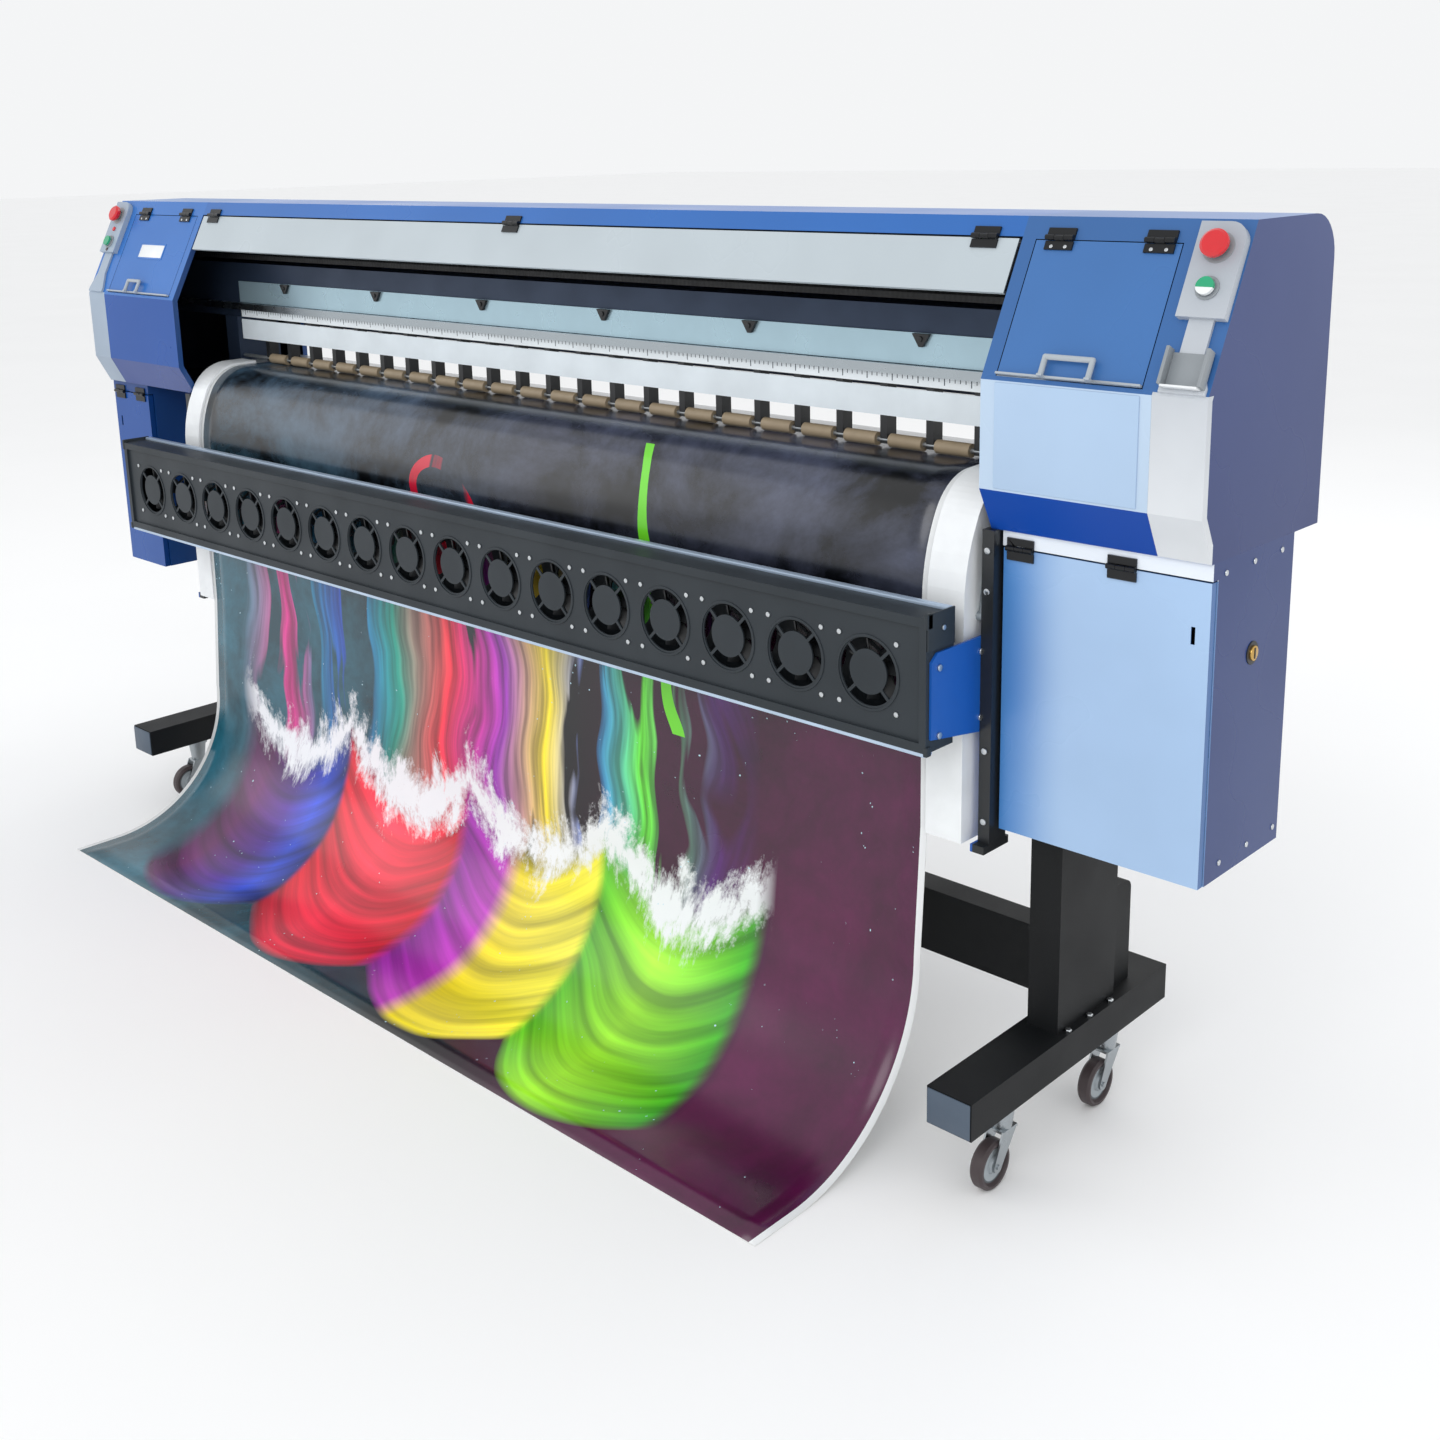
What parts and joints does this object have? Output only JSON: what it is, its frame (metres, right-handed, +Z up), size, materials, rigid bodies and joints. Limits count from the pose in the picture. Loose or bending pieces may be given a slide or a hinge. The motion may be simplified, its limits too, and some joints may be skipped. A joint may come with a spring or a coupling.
{
  "type": "wide-format roll printer",
  "caption": "Long roll-fed printer on a caster stand: two blue end pods, front flap, travelling print carriage, drying fan bar, cabinets under the pods, print hanging to the floor.",
  "frame": {"origin": "on the floor, under the middle of the footprint", "axes": "+X to the operator's right along the machine, +Y to the back, +Z up"},
  "size_m": [2.944, 0.9338, 1.4],
  "materials": {
    "frame_black": "black powder coat, fine satin texture",
    "beam_grey": "dark satin paint",
    "beam_silver": "bead-blasted anodised aluminium",
    "rail_steel": "ground and polished steel",
    "platen_white": "white powder-coated aluminium",
    "holder_black": "black moulded holders",
    "guide_white": "white moulded end covers",
    "pod_blue": "blue metallic paint, satin",
    "pod_navy": "navy paint, satin",
    "lid_blue": "mid-blue paint, satin",
    "door_pale": "pale blue paint, satin",
    "tower_grey": "light grey moulded ABS",
    "bar_grey": "charcoal powder coat",
    "bracket_black": "black paint",
    "media_vinyl": "printed banner vinyl",
    "media_roll": "white wound media",
    "tank_plastic": "translucent moulded tanks",
    "belt_black": "black toothed belt",
    "carriage_grey": "grey painted cover",
    "flap_silver": "satin anodised aluminium",
    "stop_red": "red moulded plastic",
    "start_green": "green moulded plastic",
    "roller_beige": "beige urethane rollers",
    "grit_steel": "knurled steel roller",
    "pulley_metal": "machined aluminium",
    "fork_steel": "grey zinc-plated steel",
    "caster_tread": "dark urethane tread and grey hub",
    "fan_black": "black moulded impellers"
  },
  "bodies": {
    "frame": {"legs": "frame_black", "stretcher": "frame_black", "main_beam": "beam_grey", "beam_cover": "beam_silver", "linear_rail": "rail_steel", "platen": "platen_white", "pinch_unit": "holder_black", "front_guide": "platen_white", "guide_covers": "guide_white", "left_pod_shell": "pod_blue", "right_pod_shell": "pod_navy", "control_towers": "tower_grey", "top_cover": "pod_blue", "left_cabinet": "pod_blue", "right_cabinet": "pod_navy", "dryer_housing": "bar_grey", "dryer_brackets": "bracket_black", "printed_media": "media_vinyl", "ink_tanks": "tank_plastic", "drive_belt": "belt_black", "roll_holders": "bracket_black"},
    "carriage": {"carriage": "carriage_grey"},
    "front_flap": {"front_flap": "flap_silver"},
    "right_lid": {"right_lid": "lid_blue"},
    "left_lid": {"left_lid": "pod_blue"},
    "right_door": {"right_door": "door_pale"},
    "left_door": {"left_door": "pod_blue"},
    "right_e_stop": {"right_e_stop": "stop_red"},
    "right_start_button": {"right_start_button": "start_green"},
    "left_e_stop": {"left_e_stop": "stop_red"},
    "left_start_button": {"left_start_button": "start_green"},
    "supply_roll": {"supply_roll": "media_roll"},
    "grit_roller": {"grit_roller": "grit_steel"},
    "pinch_rollers": {"pinch_rollers": "roller_beige"},
    "drive_pulley": {"drive_pulley": "pulley_metal"},
    "idler_pulley": {"idler_pulley": "pulley_metal"},
    "fork_front_left": {"fork_front_left": "fork_steel"},
    "wheel_front_left": {"wheel_front_left": "caster_tread"},
    "fork_front_right": {"fork_front_right": "fork_steel"},
    "wheel_front_right": {"wheel_front_right": "caster_tread"},
    "fork_back_left": {"fork_back_left": "fork_steel"},
    "wheel_back_left": {"wheel_back_left": "caster_tread"},
    "fork_back_right": {"fork_back_right": "fork_steel"},
    "wheel_back_right": {"wheel_back_right": "caster_tread"},
    "fan_01": {"fan_01": "fan_black"},
    "fan_02": {"fan_02": "fan_black"},
    "fan_03": {"fan_03": "fan_black"},
    "fan_04": {"fan_04": "fan_black"},
    "fan_05": {"fan_05": "fan_black"},
    "fan_06": {"fan_06": "fan_black"},
    "fan_07": {"fan_07": "fan_black"},
    "fan_08": {"fan_08": "fan_black"},
    "fan_09": {"fan_09": "fan_black"},
    "fan_10": {"fan_10": "fan_black"},
    "fan_11": {"fan_11": "fan_black"},
    "fan_12": {"fan_12": "fan_black"},
    "fan_13": {"fan_13": "fan_black"},
    "fan_14": {"fan_14": "fan_black"},
    "fan_15": {"fan_15": "fan_black"},
    "fan_16": {"fan_16": "fan_black"}
  },
  "joints": [
    {"name": "carriage_slide", "type": "slide", "parent": "frame", "child": "carriage", "axis": [1, 0, 0], "range_m": [-2.58, 0]},
    {"name": "front_flap_hinge", "type": "hinge", "parent": "frame", "child": "front_flap", "pos_m": [0.033, 0.01981, 1.37278], "axis": [-1, 0, 0], "range_deg": [0, 95]},
    {"name": "right_lid_hinge", "type": "hinge", "parent": "frame", "child": "right_lid", "pos_m": [1.2685, 0.01981, 1.37278], "axis": [-1, 0, 0], "range_deg": [0, 100]},
    {"name": "left_lid_hinge", "type": "hinge", "parent": "frame", "child": "left_lid", "pos_m": [-1.2355, 0.01981, 1.37278], "axis": [-1, 0, 0], "range_deg": [0, 100]},
    {"name": "right_door_hinge", "type": "hinge", "parent": "frame", "child": "right_door", "pos_m": [1.3115, -0.0385, 0.945], "axis": [-1, 0, 0], "range_deg": [0, 90]},
    {"name": "left_door_hinge", "type": "hinge", "parent": "frame", "child": "left_door", "pos_m": [-1.387, -0.0385, 0.945], "axis": [-1, 0, 0], "range_deg": [0, 90]},
    {"name": "right_e_stop_press", "type": "slide", "parent": "frame", "child": "right_e_stop", "axis": [0, 0.8877, -0.4604], "range_m": [0, 0.004]},
    {"name": "right_start_button_press", "type": "slide", "parent": "frame", "child": "right_start_button", "axis": [0, 0.8877, -0.4604], "range_m": [0, 0.004], "stiffness_N_per_m": 400},
    {"name": "left_e_stop_press", "type": "slide", "parent": "frame", "child": "left_e_stop", "axis": [0, 0.8877, -0.4604], "range_m": [0, 0.004]},
    {"name": "left_start_button_press", "type": "slide", "parent": "frame", "child": "left_start_button", "axis": [0, 0.8877, -0.4604], "range_m": [0, 0.004], "stiffness_N_per_m": 400},
    {"name": "supply_roll_spin", "type": "hinge", "parent": "frame", "child": "supply_roll", "pos_m": [0, 0.392, 0.722], "axis": [1, 0, 0], "continuous": true},
    {"name": "grit_roller_spin", "type": "hinge", "parent": "frame", "child": "grit_roller", "pos_m": [0, 0.104, 1.018], "axis": [1, 0, 0], "continuous": true},
    {"name": "pinch_rollers_spin", "type": "hinge", "parent": "frame", "child": "pinch_rollers", "pos_m": [0, 0.104, 1.0444], "axis": [1, 0, 0], "continuous": true},
    {"name": "drive_pulley_spin", "type": "hinge", "parent": "frame", "child": "drive_pulley", "pos_m": [-1.4, 0.125, 1.273], "axis": [0, 0, 1], "continuous": true},
    {"name": "idler_pulley_spin", "type": "hinge", "parent": "frame", "child": "idler_pulley", "pos_m": [1.4, 0.125, 1.273], "axis": [0, 0, 1], "continuous": true},
    {"name": "front_left_swivel", "type": "hinge", "parent": "frame", "child": "fork_front_left", "pos_m": [-1.103, -0.103, 0.128], "axis": [0, 0, 1], "continuous": true},
    {"name": "front_left_wheel_spin", "type": "hinge", "parent": "fork_front_left", "child": "wheel_front_left", "pos_m": [-1.103, -0.133, 0.038], "axis": [1, 0, 0], "continuous": true},
    {"name": "front_right_swivel", "type": "hinge", "parent": "frame", "child": "fork_front_right", "pos_m": [1.214, -0.103, 0.128], "axis": [0, 0, 1], "continuous": true},
    {"name": "front_right_wheel_spin", "type": "hinge", "parent": "fork_front_right", "child": "wheel_front_right", "pos_m": [1.214, -0.133, 0.038], "axis": [1, 0, 0], "continuous": true},
    {"name": "back_left_swivel", "type": "hinge", "parent": "frame", "child": "fork_back_left", "pos_m": [-1.103, 0.19, 0.128], "axis": [0, 0, 1], "continuous": true},
    {"name": "back_left_wheel_spin", "type": "hinge", "parent": "fork_back_left", "child": "wheel_back_left", "pos_m": [-1.103, 0.16, 0.038], "axis": [1, 0, 0], "continuous": true},
    {"name": "back_right_swivel", "type": "hinge", "parent": "frame", "child": "fork_back_right", "pos_m": [1.214, 0.19, 0.128], "axis": [0, 0, 1], "continuous": true},
    {"name": "back_right_wheel_spin", "type": "hinge", "parent": "fork_back_right", "child": "wheel_back_right", "pos_m": [1.214, 0.16, 0.038], "axis": [1, 0, 0], "continuous": true},
    {"name": "fan_01_spin", "type": "hinge", "parent": "frame", "child": "fan_01", "pos_m": [1.01756, -0.163, 0.766], "axis": [0, 1, 0], "continuous": true},
    {"name": "fan_02_spin", "type": "hinge", "parent": "frame", "child": "fan_02", "pos_m": [0.87915, -0.163, 0.766], "axis": [0, 1, 0], "continuous": true},
    {"name": "fan_03_spin", "type": "hinge", "parent": "frame", "child": "fan_03", "pos_m": [0.74074, -0.163, 0.766], "axis": [0, 1, 0], "continuous": true},
    {"name": "fan_04_spin", "type": "hinge", "parent": "frame", "child": "fan_04", "pos_m": [0.60234, -0.163, 0.766], "axis": [0, 1, 0], "continuous": true},
    {"name": "fan_05_spin", "type": "hinge", "parent": "frame", "child": "fan_05", "pos_m": [0.46393, -0.163, 0.766], "axis": [0, 1, 0], "continuous": true},
    {"name": "fan_06_spin", "type": "hinge", "parent": "frame", "child": "fan_06", "pos_m": [0.32552, -0.163, 0.766], "axis": [0, 1, 0], "continuous": true},
    {"name": "fan_07_spin", "type": "hinge", "parent": "frame", "child": "fan_07", "pos_m": [0.18711, -0.163, 0.766], "axis": [0, 1, 0], "continuous": true},
    {"name": "fan_08_spin", "type": "hinge", "parent": "frame", "child": "fan_08", "pos_m": [0.0487, -0.163, 0.766], "axis": [0, 1, 0], "continuous": true},
    {"name": "fan_09_spin", "type": "hinge", "parent": "frame", "child": "fan_09", "pos_m": [-0.0897, -0.163, 0.766], "axis": [0, 1, 0], "continuous": true},
    {"name": "fan_10_spin", "type": "hinge", "parent": "frame", "child": "fan_10", "pos_m": [-0.22811, -0.163, 0.766], "axis": [0, 1, 0], "continuous": true},
    {"name": "fan_11_spin", "type": "hinge", "parent": "frame", "child": "fan_11", "pos_m": [-0.36652, -0.163, 0.766], "axis": [0, 1, 0], "continuous": true},
    {"name": "fan_12_spin", "type": "hinge", "parent": "frame", "child": "fan_12", "pos_m": [-0.50493, -0.163, 0.766], "axis": [0, 1, 0], "continuous": true},
    {"name": "fan_13_spin", "type": "hinge", "parent": "frame", "child": "fan_13", "pos_m": [-0.64334, -0.163, 0.766], "axis": [0, 1, 0], "continuous": true},
    {"name": "fan_14_spin", "type": "hinge", "parent": "frame", "child": "fan_14", "pos_m": [-0.78175, -0.163, 0.766], "axis": [0, 1, 0], "continuous": true},
    {"name": "fan_15_spin", "type": "hinge", "parent": "frame", "child": "fan_15", "pos_m": [-0.92015, -0.163, 0.766], "axis": [0, 1, 0], "continuous": true},
    {"name": "fan_16_spin", "type": "hinge", "parent": "frame", "child": "fan_16", "pos_m": [-1.05856, -0.163, 0.766], "axis": [0, 1, 0], "continuous": true}
  ],
  "couplings": [
    {"joint": "grit_roller_spin", "follows": "supply_roll_spin", "ratio": 5.3571},
    {"joint": "pinch_rollers_spin", "follows": "supply_roll_spin", "ratio": -6.8182},
    {"joint": "drive_pulley_spin", "follows": "carriage_slide", "rad_per_m": 52.632},
    {"joint": "idler_pulley_spin", "follows": "carriage_slide", "rad_per_m": 52.632},
    {"joint": "fan_02_spin", "follows": "fan_01_spin", "ratio": 1},
    {"joint": "fan_03_spin", "follows": "fan_01_spin", "ratio": 1},
    {"joint": "fan_04_spin", "follows": "fan_01_spin", "ratio": 1},
    {"joint": "fan_05_spin", "follows": "fan_01_spin", "ratio": 1},
    {"joint": "fan_06_spin", "follows": "fan_01_spin", "ratio": 1},
    {"joint": "fan_07_spin", "follows": "fan_01_spin", "ratio": 1},
    {"joint": "fan_08_spin", "follows": "fan_01_spin", "ratio": 1},
    {"joint": "fan_09_spin", "follows": "fan_01_spin", "ratio": 1},
    {"joint": "fan_10_spin", "follows": "fan_01_spin", "ratio": 1},
    {"joint": "fan_11_spin", "follows": "fan_01_spin", "ratio": 1},
    {"joint": "fan_12_spin", "follows": "fan_01_spin", "ratio": 1},
    {"joint": "fan_13_spin", "follows": "fan_01_spin", "ratio": 1},
    {"joint": "fan_14_spin", "follows": "fan_01_spin", "ratio": 1},
    {"joint": "fan_15_spin", "follows": "fan_01_spin", "ratio": 1},
    {"joint": "fan_16_spin", "follows": "fan_01_spin", "ratio": 1}
  ]
}
